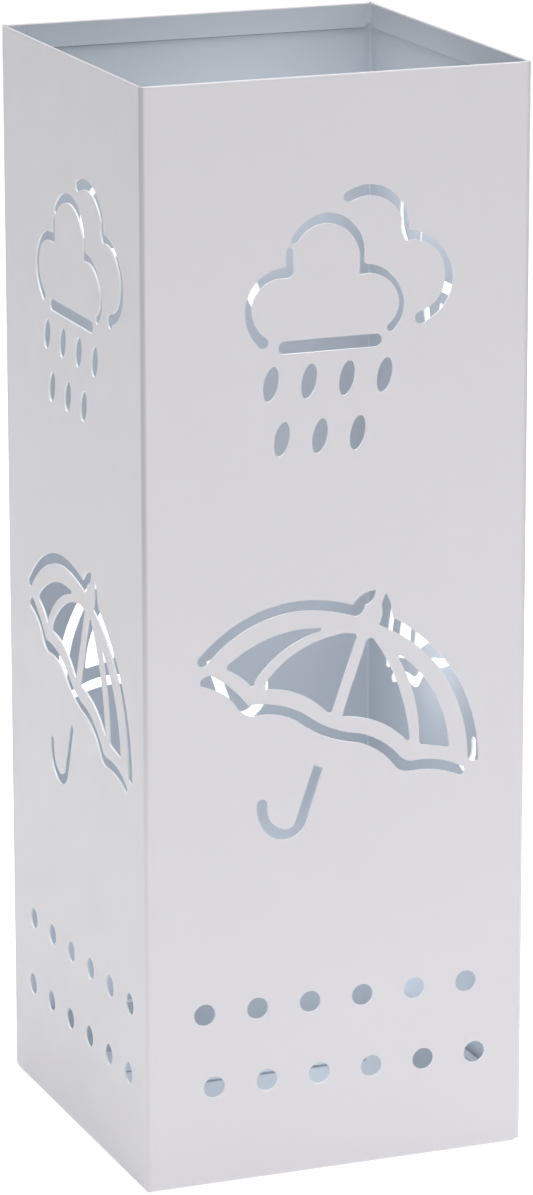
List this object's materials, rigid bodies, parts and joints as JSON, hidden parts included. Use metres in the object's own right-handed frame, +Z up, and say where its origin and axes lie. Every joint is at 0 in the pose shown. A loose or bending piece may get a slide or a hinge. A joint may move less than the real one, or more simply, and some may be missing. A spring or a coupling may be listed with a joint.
{
  "type": "umbrella stand",
  "caption": "Tall square umbrella stand of folded, powder-coated sheet steel with cut-out clouds, rain and umbrella, and a lift-out drip tray.",
  "frame": {"origin": "on the floor at the middle of the square footprint", "axes": "+Z up through the open top; -Y is the front wall and -X the left wall"},
  "size_m": [0.18, 0.18, 0.495],
  "materials": {
    "coated_steel": "fine satin powder coat",
    "tray_plastic": "satin moulded plastic",
    "pad_rubber": "matt"
  },
  "bodies": {
    "stand": {"front_left_sheet": "coated_steel", "back_right_sheet": "coated_steel", "base_plate": "coated_steel", "foot_pad_front_left": "pad_rubber", "foot_pad_front_right": "pad_rubber", "foot_pad_back_left": "pad_rubber", "foot_pad_back_right": "pad_rubber"},
    "tray": {"drip_tray": "tray_plastic"}
  },
  "joints": [
    {"name": "tray_lift", "type": "slide", "parent": "stand", "child": "tray", "axis": [0, 0, 1], "range_m": [0, 0.5]}
  ]
}
